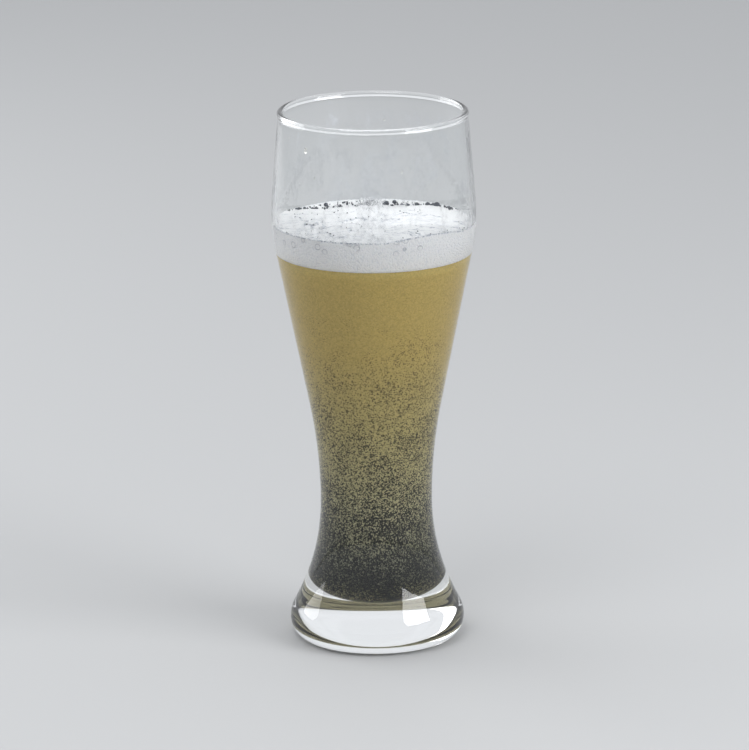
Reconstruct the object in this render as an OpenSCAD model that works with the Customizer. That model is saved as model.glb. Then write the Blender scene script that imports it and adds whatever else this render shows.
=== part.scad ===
// A filled wheat-beer glass, all of it turned about the Z axis, standing on z = 0, in millimetres.
// The outline is one run of arcs and straight lines that meet in tangents, from the ring that the
// glass stands on, up the heavy foot, the slim waist, the long taper and the shoulder to the rim.
// The inside follows it at its own wall thickness, and the beer and its head fill the inside.

/* [Outline] */
// Height of the glass, from the table to the top of the rim
glass_h = 225; // [200:1:260]
// Outer diameter over the rim bead
rim_d = 79.2; // [72:0.2:84]
// Widest outer diameter, at the shoulder
belly_d = 84.8; // [78:0.2:96]
// Height from the widest part of the shoulder up to the rim
mouth_h = 43; // [30:1:60]
// Radius of the soft curve of the shoulder
shoulder_r = 79; // [30:1:110]
// Outer diameter at the waist
waist_d = 46.7; // [40:0.1:56]
// Height of the waist above the table
waist_h = 59; // [48:1:75]
// Radius of the long curve that leads from the waist into the taper
sweep_r = 211; // [120:1:260]

/* [Foot] */
// Widest diameter of the foot
foot_d = 73; // [62:0.2:84]
// Height of the widest part of the foot
foot_edge_h = 8.3; // [5:0.1:12]
// Radius of the foot's rounded upper edge
foot_top_r = 13; // [6:0.5:20]
// How far the standing ring lies inside the widest part of the foot
foot_tuck = 6.9; // [4:0.1:10]
// Width of the flat ring that the glass stands on
ring_w = 4; // [2:0.2:8]
// Height of the hollow under the foot, at its middle
push_up_h = 2.4; // [1:0.1:5]

/* [Wall] */
// Thickness of the wall from the shoulder to the rim
wall_t = 1.7; // [1.2:0.1:3]
// Thickness of the wall at the waist
waist_wall_t = 2.6; // [1.8:0.1:4.5]
// How far the fire-polished bead stands proud of the wall, inside and outside
bead_proud = 0.35; // [0.1:0.05:0.8]
// Radius of the small hollow that leads from the wall into the bead
neck_r = 2; // [1:0.1:4]
// Thickness of solid glass under the middle of the inside floor
floor_h = 15; // [12:0.5:28]
// Radius of the dished inside floor
dish_r = 60; // [40:1:120]
// Radius of the corner between the inside floor and the wall
corner_r = 14; // [6:0.5:16]

/* [Filling] */
// Empty height, from the level edge of the foam up to the rim
headspace_h = 46.7; // [35:0.1:70]
// Height of the foam at the wall
foam_h = 12.7; // [6:0.1:30]
// Height of the largest swell on top of the foam
swell_h = 2.4; // [1:0.1:4]
// Half the width of the largest swell
swell_w = 19; // [12:0.5:26]
// Number of swells
swells = 5; // [1:1:8]
// Width of the foam's level edge along the wall
bank_rim_w = 0.5; // [0.3:0.1:1.5]
// Radius of the hollow in which the foam climbs to its level edge
bank_r = 3; // [1.5:0.5:6]
// Radius of the largest bubble along the wall
bubble_max_r = 1.35; // [0.9:0.05:2]
// Radius of the smallest bubble
bubble_min_r = 0.4; // [0.3:0.05:0.6]
// Number of small bubbles all around the edge of the foam
edge_bubbles = 36; // [0:1:48]
// Number of small bubbles scattered over the top of the foam
top_bubbles = 24; // [0:1:40]
// Thickness of foam left between a bubble and the wall
bubble_web = 0.3; // [0.2:0.1:1]

/* [Hidden] */

// Finish of the turned surfaces: facets round, and the most that a facet may leave its curve
$fn = 96;
curve_error = 0.02;
// Points of the outline closer together than this are one point
same_point = 0.001;
// Share of the room between shoulder and waist that their two curves may take up
curve_share = 0.95;
// Steps of the golden ratio spread the swells and the bubbles evenly without a visible order
golden = (sqrt(5) - 1) / 2;
// Direction in which the largest swell stands, and the share of its height that the others near
swell_side = -55;
low_swell = 0.5;
// How far round the hollow in the foam turns up before it meets the level edge
bank_turn = 60;
// Large bubbles along the wall, most of them on one side: direction, and size beside the largest
large_bubbles = [
    [30, 0.4], [44, 1], [54, 0.8], [62, 0.7], [68, 0.45], [82, 1], [92, 0.35], [101, 0.4],
    [112, 0.35], [124, 0.5], [133, 0.6], [139, 0.4]];
// Share of a bubble's radius by which its middle lies under the foam's top
bubble_sink = 0.35;
// Largest of the small bubbles beside the smallest
small_spread = 1.5;

glass_tint = [0.86, 0.91, 0.95, 0.35];
beer_gold = [0.80, 0.70, 0.40];
foam_white = [0.95, 0.97, 1.00];

waist_r = waist_d / 2;
belly_r = belly_d / 2;
foot_r = foot_d / 2;
ring_r = foot_r - foot_tuck;
belly_h = glass_h - mouth_h;
foam_edge_h = glass_h - headspace_h;
beer_top_h = foam_edge_h - foam_h;
bead_r = wall_t / 2 + bead_proud;
bead_c = [rim_d / 2 - bead_r, glass_h - bead_r];

// The hollow that leads into the bead: how far its middle lies from the wall's own middle, and below
// the middle of the bead
neck_aside = wall_t / 2 + neck_r;
neck_drop = sqrt(pow(bead_r + neck_r, 2) - pow(neck_aside, 2));

// The shoulder's curve is no larger than the drawn-in mouth leaves room for
mouth_draw = belly_r - bead_c.x;
mouth_rise = bead_c.y - belly_h;
mouth_slack = 2 * mouth_draw - wall_t;
mouth_reach = pow(mouth_draw, 2) + pow(mouth_rise, 2) - pow(wall_t / 2, 2);
shoulder_room = mouth_reach / max(mouth_slack, same_point);
shoulder = mouth_slack > 0 ? min(shoulder_r, curve_share * shoulder_room) : shoulder_r;
shoulder_c = [belly_r - shoulder, belly_h];

// The waist's curve is no larger than the rise from the waist to the shoulder leaves room for
wall_gain = waist_wall_t - wall_t;
rise = belly_h - waist_h;
widening = belly_r - waist_r + wall_gain;
sweep_room = (pow(rise, 2) + pow(widening, 2)) / (2 * widening) - wall_gain - shoulder;
sweep = min(sweep_r, curve_share * sweep_room);
sweep_c = [waist_r + sweep, waist_h];

// The flare under the waist touches the foot's rounded edge, which sets its radius
flare_run = foot_r - waist_r;
flare_rise = waist_h - foot_edge_h;
flare_reach = (pow(flare_run, 2) + pow(flare_rise, 2)) / (2 * flare_run);
flare = flare_reach - foot_top_r;
flare_c = [waist_r + flare, waist_h];
flare_angle = asin(flare_rise / flare_reach);

// Tilt of the wall at the mouth, which runs from the shoulder's curve into the middle of the bead
mouth_v = bead_c - shoulder_c;
lip_angle = atan2(mouth_v.y, mouth_v.x) - acos((shoulder - wall_t / 2) / norm(mouth_v));

// The inside corner touches the dished floor and the inside of the flare
dish_c = [0, floor_h + dish_r];
corner_c = circles_meet(dish_c, dish_r - corner_r, flare_c, flare + waist_wall_t + corner_r);

// Points along an arc about a centre, from one angle to another, both ends included
function arc(centre, r, from, to) =
    let (count = max(1, ceil(abs(to - from) / (2 * acos(1 - curve_error / r)))))
    [for (i = [0 : count]) centre + r * direction(from + (to - from) * i / count)];

function direction(angle) = [cos(angle), sin(angle)];

function angle_of(vector) = atan2(vector.y, vector.x);

// A point given beside and along the tilted wall at the mouth, in the frame of the section
function at_lip(beside, along) =
    bead_c + beside * direction(lip_angle) + along * direction(lip_angle + 90);

// The lower of the two points where two circles meet
function circles_meet(a, a_r, b, b_r) =
    let (
        gap = b - a,
        reach = norm(gap),
        along = (pow(reach, 2) + pow(a_r, 2) - pow(b_r, 2)) / (2 * reach),
        aside = sqrt(pow(a_r, 2) - pow(along, 2))
    )
    a + (along * gap + aside * [gap.y, -gap.x]) / reach;

// Slope of the straight line that touches a hollow curve below it and a round curve above it
function taper_angle(low_r, high_r) =
    let (gap = [sweep_c.x - shoulder_c.x, shoulder_c.y - sweep_c.y])
    angle_of(gap) - acos((low_r + high_r) / norm(gap));

// The same points without those that repeat the one before
function merged(points) =
    [for (i = [0 : len(points) - 1])
        if (i == 0 || norm(points[i] - points[max(i - 1, 0)]) > same_point) points[i]];

// The same rising line of points, with one more where it passes a level
function with_level(points, level) =
    [for (i = [0 : len(points) - 1])
        let (a = points[max(i - 1, 0)], b = points[i])
        each (a.y < level && b.y > level ? [a + (b - a) * (level - a.y) / (b.y - a.y), b] : [b])];

// The points between two levels, both included
function between(points, low, high) =
    [for (p = points) if (p.y > low - same_point && p.y < high + same_point) p];

// Quarter of an ellipse that rolls the foot up from its standing ring to its widest part
function foot_roll() =
    let (turn = arc([0, 0], foot_edge_h, -90, 0))
    [for (p = turn) [ring_r + foot_tuck * p.x / foot_edge_h, foot_edge_h + p.y]];

// Outside of the glass, from the standing ring up to the bead
function outside() =
    let (slope = taper_angle(sweep, shoulder))
    concat(
        foot_roll(),
        arc([foot_r - foot_top_r, foot_edge_h], foot_top_r, 0, flare_angle),
        arc(flare_c, flare, 180 + flare_angle, 180),
        arc(sweep_c, sweep, 180, 180 - slope),
        arc(shoulder_c, shoulder, -slope, 0),
        arc(shoulder_c, shoulder, 0, lip_angle));

// The fire-polished bead with the small hollows that lead into it, over the top of the wall
function bead() =
    let (turn = atan2(neck_drop, neck_aside))
    concat(
        arc(at_lip(neck_aside, -neck_drop), neck_r, lip_angle + 180, lip_angle + 180 - turn),
        arc(bead_c, bead_r, lip_angle - turn, 0),
        arc(bead_c, bead_r, 0, 90),
        arc(bead_c, bead_r, 90, lip_angle + 180 + turn),
        arc(at_lip(-neck_aside, -neck_drop), neck_r, lip_angle + turn, lip_angle));

// Inside of the glass, from the middle of its floor up to the wall under the bead
function inside() =
    let (
        inner_sweep = sweep + waist_wall_t,
        inner_shoulder = shoulder - wall_t,
        slope = taper_angle(inner_sweep, inner_shoulder),
        flare_turn = angle_of(flare_c - corner_c)
    )
    concat(
        arc(dish_c, dish_r, -90, angle_of(corner_c - dish_c)),
        arc(corner_c, corner_r, angle_of(corner_c - dish_c), flare_turn),
        arc(flare_c, flare + waist_wall_t, 180 + flare_turn, 180),
        arc(sweep_c, inner_sweep, 180, 180 - slope),
        arc(shoulder_c, inner_shoulder, -slope, lip_angle),
        [at_lip(-wall_t / 2, -neck_drop)]);

// The hollow under the foot, from the standing ring in to the middle
function push_up() =
    let (
        hollow_r = ring_r - ring_w,
        dome_r = (pow(hollow_r, 2) + pow(push_up_h, 2)) / (2 * push_up_h),
        dome_c = [0, push_up_h - dome_r]
    )
    arc(dome_c, dome_r, 90, angle_of([hollow_r, 0] - dome_c));

function reversed(points) = [for (i = [len(points) - 1 : -1 : 0]) points[i]];

cavity = with_level(with_level(merged(inside()), beer_top_h), foam_edge_h);

// Where the level edge of the foam meets the wall
foam_edge_r = max([for (p = between(cavity, foam_edge_h, foam_edge_h)) p.x]);

// Each step of the golden ratio without its whole turns, from 0 to 1
function spread(i) = i * golden - floor(i * golden);

// The swells stand on golden-angle steps around the axis, each lower and further in than the last
function swell_place(i) =
    (foam_edge_r - swell_w / 2) * sqrt(1 - i / swells) * direction(swell_side + 360 * spread(i));
function swell_rise(i) = swell_h * (1 - (1 - low_swell) * i / swells);
swell_ball_r = (pow(swell_w, 2) + pow(swell_h, 2)) / (2 * swell_h);
function swell_ball_h(i) = foam_edge_h + swell_rise(i) - swell_ball_r;

// The foam lies lower inside, and climbs in a hollow arc to its level edge
bank_h = bank_r * (1 - cos(bank_turn));
bank_w = bank_r * sin(bank_turn);
bank_c = [foam_edge_r - bank_rim_w - bank_w, foam_edge_h - bank_h + bank_r];

// Height of the foam's top over a place
function bank_top(away) =
    bank_c.y - sqrt(pow(bank_r, 2) - pow(min(max(away - bank_c.x, 0), bank_w), 2));
function swell_top(i, away) = swell_ball_h(i) + sqrt(max(pow(swell_ball_r, 2) - pow(away, 2), 0));
function foam_top(place) =
    max([bank_top(norm(place)),
        for (i = [0 : swells - 1]) swell_top(i, norm(place - swell_place(i)))]);

// Radius of one of the small bubbles
function small_bubble(i) = bubble_min_r * (1 + (small_spread - 1) * spread(3 * i));

module glass() {
    color(glass_tint)
    rotate_extrude()
        polygon(merged(concat(outside(), bead(), reversed(cavity), push_up())));
}

module beer() {
    color(beer_gold)
    rotate_extrude()
        polygon(concat(between(cavity, 0, beer_top_h), [[0, beer_top_h]]));
}

// A bubble leaves a round pit, its middle a little under the foam's top
module bubble_pit(place, r) {
    translate([place.x, place.y, foam_top(place) - bubble_sink * r])
        sphere(r);
}

// A pit beside the wall
module wall_pit(angle, r) {
    bubble_pit((foam_edge_r - bubble_web - r) * direction(angle), r);
}

module large_pits() {
    for (bubble = large_bubbles) {
        wall_pit(bubble[0], max(bubble[1] * bubble_max_r, bubble_min_r));
    }
}

module edge_pits() {
    for (i = [0 : 1 : edge_bubbles - 1]) {
        wall_pit(360 * i / edge_bubbles, small_bubble(i));
    }
}

// Small bubbles over the top, clear of those along the wall
module top_pits() {
    reach = foam_edge_r - 2 * (bubble_web + bubble_max_r);
    for (i = [0 : 1 : top_bubbles - 1]) {
        away = reach * sqrt((i + 1) / top_bubbles);
        bubble_pit(away * direction(360 * spread(i)), small_bubble(i));
    }
}

module swell_balls() {
    for (i = [0 : swells - 1]) {
        translate([swell_place(i).x, swell_place(i).y, swell_ball_h(i)])
            sphere(swell_ball_r);
    }
}

// Everything below the foam's top where it doesn't swell
module foam_bank() {
    climb = arc(bank_c, bank_r, -90, bank_turn - 90);
    rotate_extrude()
        polygon(concat([[0, 0], [0, foam_edge_h - bank_h]], climb, [[belly_r, foam_edge_h], [belly_r, 0]]));
}

// The foam fills the inside up to its level edge, and higher where it swells
module foam_head() {
    fill = between(cavity, beer_top_h, glass_h);
    color(foam_white)
    difference() {
        intersection() {
            rotate_extrude()
                polygon(concat([[0, beer_top_h]], fill, [[0, fill[len(fill) - 1].y]]));
            union() {
                foam_bank();
                swell_balls();
            }
        }
        large_pits();
        edge_pits();
        top_pits();
    }
}

glass();
beer();
foam_head();
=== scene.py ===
import math

import bmesh
import bpy
import numpy as np
from mathutils import Matrix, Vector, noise


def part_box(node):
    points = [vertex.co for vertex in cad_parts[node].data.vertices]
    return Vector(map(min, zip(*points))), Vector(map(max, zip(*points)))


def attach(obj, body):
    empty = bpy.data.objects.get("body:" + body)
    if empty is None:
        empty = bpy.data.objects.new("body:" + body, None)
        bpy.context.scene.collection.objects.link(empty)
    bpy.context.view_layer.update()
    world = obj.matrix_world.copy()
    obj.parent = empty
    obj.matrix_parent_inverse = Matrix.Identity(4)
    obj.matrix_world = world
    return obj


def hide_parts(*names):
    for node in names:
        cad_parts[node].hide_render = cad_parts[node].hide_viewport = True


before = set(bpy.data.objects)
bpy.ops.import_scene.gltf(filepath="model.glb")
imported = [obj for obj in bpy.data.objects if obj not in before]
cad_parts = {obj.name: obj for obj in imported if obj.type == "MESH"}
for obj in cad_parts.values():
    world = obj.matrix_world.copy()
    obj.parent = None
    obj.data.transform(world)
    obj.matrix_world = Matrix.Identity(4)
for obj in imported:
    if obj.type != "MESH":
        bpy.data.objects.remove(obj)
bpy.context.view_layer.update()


# The camera: a long lens across the table from the glass. It looks down on the glass by about 15
# degrees and leans a little, as in the photograph. The frame is 749 by 750 pixels.
camera_away = 2.25
camera_height = 0.70736
camera_aside = -0.0003
camera_down = math.radians(14.8165)
camera_lean = math.radians(-0.52234)
lens_mm = 268.3

bpy.ops.object.select_all(action="DESELECT")
bpy.ops.object.camera_add()
camera = bpy.context.object
camera.name = "camera"
camera.data.lens = lens_mm
camera.matrix_world = (
    Matrix.Translation((camera_aside, -camera_away, camera_height))
    @ Matrix.Rotation(math.pi / 2 - camera_down, 4, "X")
    @ Matrix.Rotation(camera_lean, 4, "Z"))
bpy.context.scene.camera = camera
bpy.context.scene.view_settings.view_transform = "Standard"


# The glass: one piece of clear soda-lime glass, blown in a mould, with a heavy foot and a rim that was
# melted round in the fire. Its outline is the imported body's own, cut through the axis and spun again.
same_point = 1e-6
short_edge = 0.00015
long_edge = 0.004
glass_steps = 96

# The film on the inside of the empty mouth: it starts at the foam and fades out below the rim.
foam_level = 0.1783
film_top = 0.219
film_fade = 0.006


def take_up(piece):
    """Makes one piece the only one that is selected, and the active one."""
    bpy.ops.object.select_all(action="DESELECT")
    piece.select_set(True)
    bpy.context.view_layer.objects.active = piece


def choose_edges(piece, wanted):
    """Selects, in edit mode, the edges of a piece that are wanted, and says whether there are any."""
    mesh = bmesh.from_edit_mesh(piece.data)
    found = False
    for edge in mesh.edges:
        edge.select_set(wanted(edge))
        found = found or edge.select
    bmesh.update_edit_mesh(piece.data)
    return found


def half_outline(node, name):
    """A new piece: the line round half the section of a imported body, on the side of +X."""
    piece = bpy.data.objects.new(name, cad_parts[node].data.copy())
    piece.data.name = name
    piece.data.materials.clear()
    bpy.context.collection.objects.link(piece)
    take_up(piece)
    bpy.ops.object.mode_set(mode="EDIT")
    bpy.ops.mesh.select_mode(type="VERT")
    bpy.ops.mesh.select_all(action="SELECT")
    bpy.ops.mesh.remove_doubles(threshold=same_point)
    bpy.ops.mesh.bisect(plane_co=(0, 0, 0), plane_no=(0, 1, 0), clear_inner=True, clear_outer=True,
                        threshold=same_point)
    bpy.ops.mesh.select_all(action="SELECT")
    bpy.ops.mesh.bisect(plane_co=(0, 0, 0), plane_no=(1, 0, 0), clear_inner=True, threshold=same_point)
    bpy.ops.mesh.select_all(action="SELECT")
    bpy.ops.mesh.remove_doubles(threshold=short_edge)
    while choose_edges(piece, lambda edge: edge.calc_length() > long_edge):
        bpy.ops.mesh.subdivide(number_cuts=1)
    return piece


def spin_round(piece, steps):
    """Spins the outline of a piece in edit mode round the axis of the glass into a closed skin."""
    bpy.ops.mesh.select_all(action="SELECT")
    bpy.ops.mesh.spin(steps=steps, angle=2 * math.pi, center=(0, 0, 0), axis=(0, 0, 1))
    bpy.ops.mesh.select_all(action="SELECT")
    bpy.ops.mesh.remove_doubles(threshold=same_point)
    bpy.ops.mesh.normals_make_consistent(inside=False)
    bpy.ops.object.mode_set(mode="OBJECT")
    bpy.ops.object.shade_smooth()


def apply_modifier(piece, kind, **settings):
    """Adds a modifier to a piece and applies it."""
    take_up(piece)
    modifier = piece.modifiers.new(kind.title(), kind)
    for setting, value in settings.items():
        setattr(modifier, setting, value)
    bpy.ops.object.modifier_apply(modifier=modifier.name)


def read_points(piece, what):
    """The places ("co") or the normals ("normal") of a piece's points, as three rows."""
    values = np.empty(len(piece.data.vertices) * 3)
    piece.data.vertices.foreach_get(what, values)
    return values.reshape(-1, 3).T


def keep_values(piece, name, values):
    """Keeps one value for each point of a piece, for its finish to read."""
    attribute = piece.data.attributes.new(name, "FLOAT", "POINT")
    attribute.data.foreach_set("value", values.astype(np.float32))


def smooth_rise(value, low, high):
    """0 below low, 1 above high, and a smooth rise from one to the other."""
    share = np.clip((value - low) / (high - low), 0, 1)
    return share * share * (3 - 2 * share)


class Wire:
    """What comes out of a node of a finish. Sums written with it become Math nodes."""

    def __init__(self, finish, socket):
        self.finish = finish
        self.socket = socket

    def maths(self, operation, *values):
        return self.finish.node("ShaderNodeMath", {"operation": operation}, dict(enumerate(values)))

    def __add__(self, other):
        return self.maths("ADD", self, other)

    def __sub__(self, other):
        return self.maths("SUBTRACT", self, other)

    def __mul__(self, other):
        return self.maths("MULTIPLY", self, other)

    def __truediv__(self, other):
        return self.maths("DIVIDE", self, other)

    def __radd__(self, other):
        return self.maths("ADD", other, self)

    def __rsub__(self, other):
        return self.maths("SUBTRACT", other, self)

    def __rmul__(self, other):
        return self.maths("MULTIPLY", other, self)

    def between(self, low, high):
        """0 below low, 1 above high, and a smooth rise from one to the other."""
        settings = {"interpolation_type": "SMOOTHSTEP"}
        values = {0: self, 1: low, 2: high, 3: 0.0, 4: 1.0}
        return self.finish.node("ShaderNodeMapRange", settings, values)

    def band(self, low, high, fade):
        """1 from low to high, and 0 further than the fade away from them."""
        return self.between(low - fade, low) * (1.0 - self.between(high, high + fade))


class Finish:
    """A material, built up node by node."""

    def __init__(self, name):
        self.material = bpy.data.materials.new(name)
        self.material.use_nodes = True
        self.tree = self.material.node_tree
        self.tree.nodes.clear()

    def node(self, kind, settings, values, out=0):
        """Adds a node with its settings and the values or wires of its sockets. Gives an output."""
        made = self.tree.nodes.new(kind)
        for setting, value in settings.items():
            if setting == "stops":
                self.set_stops(made.color_ramp, value)
            else:
                setattr(made, setting, value)
        for socket, value in values.items():
            if isinstance(value, Wire):
                self.tree.links.new(value.socket, made.inputs[socket])
            else:
                made.inputs[socket].default_value = value
        return Wire(self, made.outputs[out])

    def set_stops(self, ramp, stops):
        """Gives a colour ramp its stops, each a place from 0 to 1 and a colour."""
        while len(ramp.elements) < len(stops):
            ramp.elements.new(1.0)
        for element, (place, colour) in zip(ramp.elements, stops):
            element.position = place
            element.color = (*colour, 1.0)

    def place(self):
        """The point on the piece, in metres."""
        return self.node("ShaderNodeTexCoord", {}, {}, out="Object")

    def height(self):
        """The height of the point above the table."""
        return self.node("ShaderNodeSeparateXYZ", {}, {0: self.place()}, out="Z")

    def behind(self):
        """How far the point lies behind the axis of the glass."""
        return self.node("ShaderNodeSeparateXYZ", {}, {0: self.place()}, out="Y")

    def facing_up(self):
        """1 where the piece faces straight up, 0 where it is upright, -1 where it faces down."""
        normal = self.node("ShaderNodeNewGeometry", {}, {}, out="Normal")
        return self.node("ShaderNodeSeparateXYZ", {}, {0: normal}, out="Z")

    def kept(self, name):
        """The values that were kept on the points of the piece under a name."""
        return self.node("ShaderNodeAttribute", {"attribute_name": name}, {}, out="Fac")

    def stretched(self, across, along, up):
        """The point on the piece, with its three lengths multiplied."""
        values = {0: self.place(), 1: (across, along, up)}
        return self.node("ShaderNodeVectorMath", {"operation": "MULTIPLY"}, values)

    def noise(self, grain, detail, roughness, at=None):
        """Soft noise from 0 to 1 with a grain of that size in metres."""
        return self.node("ShaderNodeTexNoise", {}, {
            "Vector": at or self.place(),
            "Scale": 1 / grain,
            "Detail": detail,
            "Roughness": roughness})

    def cells(self, grain, out="Distance"):
        """Cells of that size: how far the point is from its cell's middle, or the cell's own colour."""
        values = {"Vector": self.place(), "Scale": 1 / grain}
        return self.node("ShaderNodeTexVoronoi", {}, values, out=out)

    def cell_number(self, grain, which=0):
        """One of the three numbers from 0 to 1 that each cell of that size has to itself."""
        return self.node("ShaderNodeSeparateColor", {}, {0: self.cells(grain, "Color")}, out=which)

    def mix(self, share, first, second, blend="MIX"):
        """The first colour turning into the second as the share goes from 0 to 1."""
        settings = {"data_type": "RGBA", "blend_type": blend}
        return self.node("ShaderNodeMix", settings, {"Factor": share, 6: first, 7: second}, out=2)

    def bump(self, depth, height):
        """Normals of a surface that stands out by the height, a share of the depth in metres."""
        return self.node("ShaderNodeBump", {}, {"Distance": depth, "Height": height})

    def surface(self, **values):
        """A surface, with its values under their names on the node."""
        named = {name.replace("_", " "): value for name, value in values.items()}
        return self.node("ShaderNodeBsdfPrincipled", {}, named)

    def done(self, surface):
        """The material with that surface."""
        output = self.tree.nodes.new("ShaderNodeOutputMaterial")
        self.tree.links.new(surface.socket, output.inputs["Surface"])
        return self.material


def clear_glass():
    """Clear glass, with the thin dried film that the beer left on the inside of the empty mouth."""
    finish = Finish("clear_glass")
    drip_grain = 0.011
    wrinkle_grain = 0.0022
    film_relief = 0.00003
    film_cover = 0.3
    glass_colour = (0.985, 0.995, 0.995, 1.0)
    film_colour = (0.62, 0.65, 0.71, 1.0)
    drips = finish.noise(drip_grain, 3.0, 0.6, finish.stretched(1.0, 1.0, 0.5)).between(0.46, 0.66)
    wrinkles = finish.noise(wrinkle_grain, 3.0, 0.65, finish.stretched(1.0, 1.0, 0.8)).between(0.36, 0.7)
    film = finish.kept("film") * drips * (0.25 + 0.75 * wrinkles)
    clear = finish.surface(
        Base_Color=glass_colour,
        Roughness=0.0,
        Transmission_Weight=1.0,
        IOR=1.5,
        Normal=finish.bump(film_relief, film))
    dried = finish.surface(Base_Color=film_colour, Roughness=0.5)
    both = finish.node("ShaderNodeMixShader", {}, {"Fac": film * film_cover, 1: clear, 2: dried})
    return finish.done(both)


glass = half_outline("glass", "drinking_glass")
spin_round(glass, glass_steps)
apply_modifier(glass, "SUBSURF", levels=1, render_levels=1)
place_x, place_y, place_z = read_points(glass, "co")
normal_x, normal_y, _ = read_points(glass, "normal")
faces_axis = place_x * normal_x + place_y * normal_y < 0
over_foam = smooth_rise(place_z, foam_level - film_fade, foam_level)
near_rim = smooth_rise(place_z, film_top - film_fade, film_top)
keep_values(glass, "film", faces_axis * over_foam * (1 - near_rim))
glass.data.materials.append(clear_glass())
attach(glass, "root")
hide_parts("glass")


# The drops: a few of beer that cling to the inside of the empty wall, each a low dome of clear liquid.
# The first hangs on the left in front, as a small bright bead, and the others are specks. Each has its
# place round the axis in degrees, its height above the table and its radius.
drops = [
    (-135, 0.2140, 0.00110), (-152, 0.2175, 0.00040), (-127, 0.2035, 0.00045), (160, 0.1900, 0.00045),
    (83, 0.2125, 0.00040), (-73, 0.2070, 0.00045), (-19, 0.1895, 0.00050), (141, 0.1880, 0.00050)]
drop_flat = 0.45
drop_tall = 1.25
drop_detail = 3


def empty_piece(name):
    """A new piece that has no points yet, in edit mode, for shapes to be added to."""
    bpy.ops.object.select_all(action="DESELECT")
    bpy.ops.mesh.primitive_ico_sphere_add(subdivisions=1, radius=short_edge, location=(0, 0, 0))
    piece = bpy.context.object
    piece.name = name
    bpy.ops.object.mode_set(mode="EDIT")
    bpy.ops.mesh.delete(type="VERT")
    return piece


beads = empty_piece("wall_drops")
for degrees, height, radius in drops:
    angle = math.radians(degrees)
    wall = glass.ray_cast((0, 0, height), (math.cos(angle), math.sin(angle), 0))[1]
    bpy.ops.mesh.primitive_ico_sphere_add(subdivisions=drop_detail, radius=radius, location=(0, 0, 0))
    bpy.ops.transform.resize(value=(drop_flat, 1, drop_tall), center_override=(0, 0, 0))
    bpy.ops.transform.rotate(value=angle, orient_axis="Z", center_override=(0, 0, 0))
    bpy.ops.transform.translate(value=wall)
bpy.ops.object.mode_set(mode="OBJECT")
bpy.ops.object.shade_smooth()


def clear_liquid():
    """A drop of clear beer."""
    finish = Finish("clear_liquid")
    return finish.done(finish.surface(
        Base_Color=(1.0, 0.99, 0.95, 1.0), Roughness=0.02, Transmission_Weight=1.0, IOR=1.34))


beads.data.materials.append(clear_liquid())
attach(beads, "root")


# The beer: hazy pale gold, full of fine bubbles that hide what is behind them near the top. It darkens
# lower down in painted shade, for the dark that shows through there. It fills the inside of the glass
# and wets its wall, so it reaches into it.
wetting = 0.00003
beer_steps = 128
beer_low, beer_high = (corner.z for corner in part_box("beer"))


def hazy_beer():
    """Gold at the top, darker olive below in painted shade, in light and dark specks, with painted light
    low at the back.
    """
    finish = Finish("hazy_beer")
    bubble_grain = 0.0004
    tone_grain = 0.0006
    cloud_grain = 0.016
    duller = (0.88, 0.88, 0.86, 1.0)
    brighter = (1.10, 1.10, 1.12, 1.0)
    lit_dark = (0.40, 0.36, 0.20, 1.0)
    lit_light = (0.72, 0.66, 0.40, 1.0)
    lit_behind = (0.002, 0.018)
    lit_height = (0.026, 0.040)
    lit_share = 0.85
    opening = 1.2
    open_late = 0.17
    clouding = 0.9
    floor_depth = (0.91, 0.97)
    floor_fewer_gaps = 0.14
    depth = (beer_high - finish.height()) / (beer_high - beer_low)
    # The colour of the bubbles, darker lower down as painted shade, and lighter again just above the
    # floor.
    light = finish.node("ShaderNodeValToRGB", {"stops": [
        (0.0, (0.57, 0.43, 0.125)),
        (0.25, (0.55, 0.42, 0.13)),
        (0.47, (0.53, 0.44, 0.18)),
        (0.7, (0.50, 0.46, 0.26)),
        (0.85, (0.24, 0.24, 0.16)),
        (0.91, (0.14, 0.14, 0.09)),
        (0.97, (0.36, 0.33, 0.15))]}, {0: depth})
    # Painted shade: the dark between the bubbles, darker lower down.
    dark = finish.node("ShaderNodeValToRGB", {"stops": [
        (0.0, (0.30, 0.21, 0.05)),
        (0.3, (0.12, 0.09, 0.03)),
        (0.5, (0.05, 0.045, 0.02)),
        (0.75, (0.012, 0.013, 0.01)),
        (1.0, (0.004, 0.005, 0.004))]}, {0: depth})
    cloud = finish.noise(cloud_grain, 3.0, 0.6)
    chance = finish.cell_number(bubble_grain)
    tone = finish.cell_number(tone_grain, 1)
    # Lower down more of the painted shade shows between the bubbles; just above the floor, less of it.
    openness = depth * opening + (cloud - 0.5) * clouding - open_late
    openness = openness - depth.between(*floor_depth) * floor_fewer_gaps
    bubbles = (chance - openness).between(-0.22, 0.12)
    liquid = finish.mix(bubbles, dark, light)
    grained = finish.mix(1.0, liquid, finish.mix(tone, duller, brighter), "MULTIPLY")
    # Painted light: the low back of the beer is lighter, as if lit from behind.
    painted_back_light = finish.behind().between(*lit_behind) * (1.0 - finish.height().between(*lit_height))
    lit = finish.mix(chance.between(0.05, 0.6), lit_dark, lit_light)
    return finish.done(finish.surface(
        Base_Color=finish.mix(painted_back_light * lit_share, grained, lit),
        Roughness=0.5,
        Specular_IOR_Level=0.1))


beer = half_outline("beer", "beer_fill")
spin_round(beer, beer_steps)
apply_modifier(beer, "DISPLACE", strength=wetting, mid_level=0.0)
beer.data.materials.append(hazy_beer())
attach(beer, "root")
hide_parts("beer")


# The head: white foam that clings to the wall and stands a little higher there. It was poured, so its
# top has low swells and drawn-out ripples. Its largest bubbles lie along the wall at the back.
foam_low, foam_high = (corner.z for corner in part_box("foam_head"))
wall_looks = 24
outside_r = 0.06

# The mesh: its steps round the axis and up the wall, and the rings of its top, close ones at the wall.
foam_steps = 640
wall_steps = 16
close_ring = 0.0004
wide_ring = 0.0007
close_rings_w = 0.014

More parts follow.
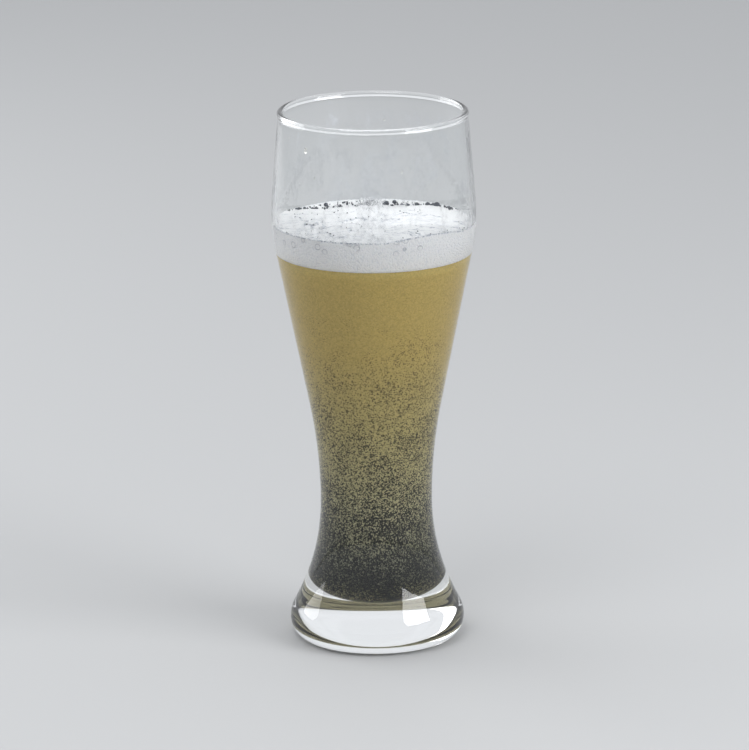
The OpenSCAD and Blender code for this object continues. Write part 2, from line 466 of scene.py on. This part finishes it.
# The bank: a hollow curve up to a narrow level rim at the wall.
bank_rim_w = 0.0005
bank_r = 0.003
bank_turn = math.radians(60)
bank_h = bank_r * (1 - math.cos(bank_turn))
bank_w = bank_r * math.sin(bank_turn)

# The swells: caps of large balls, the first the highest, spread over the head by the golden ratio.
swell_h = 0.0024
swell_w = 0.019
swells = 5
low_swell = 0.5
swell_side = math.radians(-55)
swell_ball_r = (swell_w ** 2 + swell_h ** 2) / (2 * swell_h)
swell_blend = 0.0006
golden = (math.sqrt(5) - 1) / 2

# The ripples: long waves across the head, bent by two more waves, calm at the back and at the wall.
ripple_h = 0.0004
ripple_across = 0.015
ripple_along = 0.0055
ripple_layer = 0.4
bend_across = 0.011
bend_along = 0.014
bend_layer = 3.7
bend_pull_across = 0.4
bend_pull_along = 1.1
fine_across = 0.0035
fine_along = 0.005
fine_layer = 8.1
fine_pull = 0.5
crest_sharp = 5
calm_behind = (0.004, 0.022)
calm_share = 0.85
still_w = 0.003


def wall_line(low, high, count):
    """Heights and inner radii of the wall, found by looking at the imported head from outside."""
    heights = np.linspace(low, high, count)
    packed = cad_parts["foam_head"]
    radii = [packed.ray_cast((outside_r, 0, height), (-1, 0, 0))[1].x for height in heights]
    return heights, np.array(radii)


wall_heights, wall_radii = wall_line(foam_low + same_point, foam_level - same_point, wall_looks)
foam_r = wall_radii[-1]


def draw_on(right, up):
    """Draws the outline on by one step, in metres."""
    bpy.ops.mesh.extrude_region_move(TRANSFORM_OT_translate={"value": (right, 0, up)})


bpy.ops.object.select_all(action="DESELECT")
bpy.ops.mesh.primitive_plane_add(size=close_ring)
head = bpy.context.object
head.name = "foam"
bpy.ops.object.mode_set(mode="EDIT")
bpy.ops.mesh.merge(type="CENTER")
bpy.ops.transform.translate(value=(0, 0, foam_low))
draw_on(wall_radii[0], 0)
line_heights = np.linspace(foam_low, foam_level, wall_steps + 1)
line_radii = np.interp(line_heights, wall_heights, wall_radii)
for right, up in zip(np.diff(line_radii), np.diff(line_heights)):
    draw_on(right, up)
inner_r = foam_r - close_rings_w
close_rings = np.linspace(foam_r, inner_r, round(close_rings_w / close_ring) + 1)
wide_rings = np.linspace(inner_r, 0, round(inner_r / wide_ring) + 1)
for right in (*np.diff(close_rings), *np.diff(wide_rings)):
    draw_on(right, 0)
spin_round(head, foam_steps)


def spread(step):
    """Each step of the golden ratio without its whole turns, from 0 to 1."""
    return step * golden % 1


def scatter(step):
    """Numbers from 0 to 1 that follow no order, one for each step."""
    return step * step * golden % 1


def higher(first, second):
    """The higher of two heights, with a soft change from one to the other."""
    close = np.clip(1 - np.abs(first - second) / swell_blend, 0, 1)
    return np.maximum(first, second) + close ** 2 * swell_blend / 4


def foam_height(x, y):
    """Height of the foam's top above the table at a place: its bank at the wall and its swells."""
    bank_c = foam_r - bank_rim_w - bank_w
    climb = np.clip(np.hypot(x, y) - bank_c, 0, bank_w)
    height = foam_level - bank_h + bank_r - np.sqrt(bank_r ** 2 - climb ** 2)
    for i in range(swells):
        angle = swell_side + 2 * math.pi * spread(i)
        away = (foam_r - swell_w / 2) * math.sqrt(1 - i / swells)
        reach = np.hypot(x - away * math.cos(angle), y - away * math.sin(angle))
        crown = foam_level + swell_h * (1 - (1 - low_swell) * i / swells)
        height = higher(height, crown - swell_ball_r + np.sqrt(swell_ball_r ** 2 - reach ** 2))
    return height


def ripple_share(x, y):
    """From 0 to 1, how close a place lies to the crest of a ripple. The back of the head is smoother."""
    crest = np.empty_like(x)
    for i, (across, along) in enumerate(zip(x, y)):
        bend = noise.noise((across / bend_across, along / bend_along, bend_layer))
        fine = noise.noise((across / fine_across, along / fine_along, fine_layer))
        wave = noise.noise((
            across / ripple_across + bend_pull_across * bend,
            along / ripple_along + bend_pull_along * bend + fine_pull * fine,
            ripple_layer))
        crest[i] = 1 - min(1, abs(wave) * crest_sharp)
    return crest * (1 - calm_share * smooth_rise(y, *calm_behind))


flat_x, flat_y, flat_z = read_points(head, "co")
away = np.hypot(flat_x, flat_y)
turn = np.arctan2(flat_y, flat_x)
on_top = flat_z > foam_level - same_point
ripples = np.zeros_like(away)
ripples[on_top] = ripple_share(flat_x[on_top], flat_y[on_top])
edge_h = foam_height(foam_r * np.cos(turn), foam_r * np.sin(turn))
near_wall = smooth_rise(away, foam_r - still_w, foam_r)
top_h = foam_height(flat_x, flat_y) + ripple_h * (ripples ** 2 - 1) * (1 - near_wall)
side_h = foam_low + (flat_z - foam_low) * (edge_h - foam_low) / (foam_level - foam_low)
head_z = np.minimum(np.where(on_top, top_h, side_h), foam_high)
wall_r = np.interp(np.where(on_top, edge_h, side_h), wall_heights, wall_radii) + wetting
ring_r = np.where(on_top, foam_r, np.interp(flat_z, wall_heights, wall_radii))
share = 1 + (wall_r / ring_r - 1) * np.where(on_top, near_wall, 1)
head.data.vertices.foreach_set("co", np.stack([flat_x * share, flat_y * share, head_z], 1).ravel())
head.data.update()
keep_values(head, "ripple", ripples)
keep_values(head, "to_edge", np.where(on_top, foam_r - away, edge_h - side_h))


def white_foam():
    """Fine white foam: small bubbles packed close, with bluish painted shade in their hollows and grey
    painted
    shade lines: on the ripples' flanks, at the edge by the wall and as outlines of larger bubbles.
    """
    finish = Finish("white_foam")
    small_grain = 0.0007
    large_grain = 0.0032
    fine_grain = 0.0009
    soft_grain = 0.007
    broken_grain = 0.006
    fold_grain = 0.0034
    foam_relief = 0.0004
    foam_white = (0.99, 0.992, 0.998, 1.0)
    shade_blue = (0.70, 0.74, 0.82, 1.0)
    shade_grey = (0.36, 0.39, 0.46, 1.0)
    top = finish.facing_up().between(0.3, 0.6)
    ripple = finish.kept("ripple")
    to_edge = finish.kept("to_edge")
    fine = finish.noise(fine_grain, 2.0, 0.6)
    soft = finish.noise(soft_grain, 2.0, 0.5)
    small = finish.cells(small_grain)
    large = finish.cells(large_grain)
    picked = finish.cell_number(large_grain).between(0.65, 0.7)
    # Painted shade: grey rings round larger bubbles on the side.
    outline = large.band(0.36, 0.40, 0.05) * picked * (1.0 - to_edge.between(0.004, 0.007)) * (1.0 - top)
    broken = finish.noise(broken_grain, 2.0, 0.6).between(0.42, 0.6)
    front = 1.0 - finish.behind().between(-0.008, 0.014)
    drawn_out = finish.stretched(0.4, 1.0, 1.0)
    folds = finish.noise(fold_grain, 2.0, 0.5, drawn_out).band(0.48, 0.52, 0.025) * front
    # Painted shade: grey lines on the flanks of the ripples and on the folds in front.
    crease_shade = (ripple.band(0.5, 0.72, 0.16) * broken + folds * 0.45) * fine.between(0.3, 0.6) * top
    # Painted shade: a grey line at the edge of the top by the wall.
    edge_shade = (1.0 - to_edge.between(0.0003, 0.0008)) * fine.between(0.4, 0.6)
    # Painted shade: bluish hollows between the small bubbles on the side, and soft patches.
    hollows = small.between(0.45, 0.95) * (1.0 - top) + (1.0 - soft) * 0.15
    white = finish.mix(hollows * 0.35, foam_white, shade_blue)
    shaded_white = finish.mix(outline * 0.4 + crease_shade * 0.8 + edge_shade * 0.6, white, shade_grey)
    relief = (1.0 - small) * (1.0 - top) + (fine * 0.4 - folds * 0.4) * top + outline
    return finish.done(finish.surface(
        Base_Color=shaded_white,
        Roughness=0.5,
        Specular_IOR_Level=0.25,
        Normal=finish.bump(foam_relief, relief)))


head.data.materials.append(white_foam())
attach(head, "root")
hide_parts("foam_head")


# The large bubbles in the head: thin domes of beer, coloured dark in painted shade for the dark inside
# them. They have gathered where the foam meets the wall at the back, and small ones lie beside them and
# along the ripples. Each big one has its place round the axis in degrees, its radius and its distance
# from the wall.
big_bubbles = [
    (30, 0.0006, 0.0030), (43, 0.0014, 0.0040), (49, 0.0008, 0.0022), (54, 0.0011, 0.0016),
    (61, 0.0010, 0.0026), (67, 0.0007, 0.0030), (72, 0.0008, 0.0024), (77, 0.0009, 0.0014),
    (82, 0.0014, 0.0026), (90.6, 0.0007, 0.0010), (93.7, 0.0006, 0.0016), (99, 0.0006, 0.0020),
    (107, 0.0005, 0.0020), (121, 0.0009, 0.0012), (129, 0.0005, 0.0018), (133, 0.0006, 0.0026),
    (141, 0.0006, 0.0030), (146, 0.0006, 0.0024)]

# The small ones beside them: over part of a turn in degrees, crowded towards the wall.
small_bubbles = 150
small_from = 22
small_sweep = 136
small_r = 0.0002
small_r_more = 0.00026
small_to_wall = 0.001
small_to_wall_more = 0.0045
small_crowding = 1.5

# The ones along the ripples: places tried over the whole head, and kept on the flanks of the crests.
ripple_bubbles = 700
ripple_bubble_r = 0.00014
ripple_bubble_r_more = 0.00014
crest_low = 0.35
crest_high = 0.75
least_to_wall = 0.0003

# All of them: how deep they sink, as a share of the radius, and the radius above which they get finer.
bubble_sunk = 0.1
finer_above = 0.0007

bubbles = empty_piece("foam_bubbles")


def add_bubble(angle, radius, to_wall):
    """A round bubble, a little sunk in the foam, at an angle round the axis and off the wall."""
    away = foam_r - to_wall
    x, y = away * math.cos(angle), away * math.sin(angle)
    height = float(foam_height(np.array([x]), np.array([y]))[0]) - bubble_sunk * radius
    detail = 3 if radius > finer_above else 2
    bpy.ops.mesh.primitive_ico_sphere_add(subdivisions=detail, radius=radius, location=(x, y, height))


for degrees, radius, to_wall in big_bubbles:
    add_bubble(math.radians(degrees), radius, to_wall)
for i in range(small_bubbles):
    angle = math.radians(small_from + small_sweep * scatter(i + small_bubbles))
    radius = small_r + small_r_more * spread(3 * i)
    add_bubble(angle, radius, small_to_wall + small_to_wall_more * scatter(i) ** small_crowding)
for i in range(ripple_bubbles):
    angle = 2 * math.pi * spread(i)
    away = foam_r * math.sqrt((i + 1) / ripple_bubbles)
    spot = np.array([away * math.cos(angle)]), np.array([away * math.sin(angle)])
    if crest_low < ripple_share(*spot)[0] < crest_high:
        radius = ripple_bubble_r + ripple_bubble_r_more * spread(7 * i)
        add_bubble(angle, radius, max(foam_r - away, least_to_wall))
bpy.ops.object.mode_set(mode="OBJECT")
bpy.ops.object.shade_smooth()


def bubble_film():
    """The wet film of a large bubble, in dark painted shade for the dark inside of it."""
    finish = Finish("bubble_film")
    shade_grain = 0.0009
    # Painted shade: the dark seen through the film, from darkest to lightest.
    darkest = (0.02, 0.025, 0.035, 1.0)
    lightest = (0.09, 0.10, 0.12, 1.0)
    return finish.done(finish.surface(
        Base_Color=finish.mix(finish.noise(shade_grain, 1.0, 0.5), darkest, lightest),
        Roughness=0.12,
        IOR=1.33))


bubbles.data.materials.append(bubble_film())
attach(bubbles, "root")


# The floor: a plain pale table top that the glass stands on. It is one flat disc, which runs far past
# the edges of the picture.
floor_r = 8.0
floor_sides = 128
floor_colour = (0.43, 0.435, 0.44, 1.0)

bpy.ops.object.select_all(action="DESELECT")
bpy.ops.mesh.primitive_circle_add(vertices=floor_sides, radius=floor_r, fill_type="NGON")
floor = bpy.context.object
floor.name = "floor"
table = Finish("pale_table")
floor.data.materials.append(table.done(table.surface(Base_Color=floor_colour, Roughness=0.7)))


# The light: a pale even studio, with a wide soft lamp on the right in front, one behind on the left
# that gives the glass its bright edges, and one high in front that shines in at the mouth.
room_colour = (0.95, 0.97, 1.0, 1.0)
room_strength = 0.86
aim_height = 0.11

room = bpy.data.worlds.new("studio")
bpy.context.scene.world = room
room.use_nodes = True
room_light = room.node_tree.nodes["Background"]
room_light.inputs["Color"].default_value = room_colour
room_light.inputs["Strength"].default_value = room_strength


def soft_lamp(name, side, distance, height, width, tall, power):
    """A soft lamp that faces the glass, at an angle to the right of the camera."""
    bpy.ops.object.select_all(action="DESELECT")
    bpy.ops.object.light_add(type="AREA")
    lamp = bpy.context.object
    lamp.name = name
    lamp.data.shape = "RECTANGLE"
    lamp.data.size = width
    lamp.data.size_y = tall
    lamp.data.energy = power
    angle = math.radians(side)
    down = math.atan2(height - aim_height, distance)
    lamp.matrix_world = (
        Matrix.Translation((distance * math.sin(angle), -distance * math.cos(angle), height))
        @ (Matrix.Rotation(angle, 4, "Z") @ Matrix.Rotation(math.pi / 2 - down, 4, "X")))


soft_lamp("lamp_right_front", side=60, distance=1.2, height=0.81, width=0.87, tall=0.61, power=12.5)
soft_lamp("lamp_left_back", side=-120, distance=1.2, height=0.56, width=1.2, tall=0.65, power=7)
soft_lamp("lamp_high", side=-25, distance=0.75, height=1.3, width=0.7, tall=0.7, power=5.5)
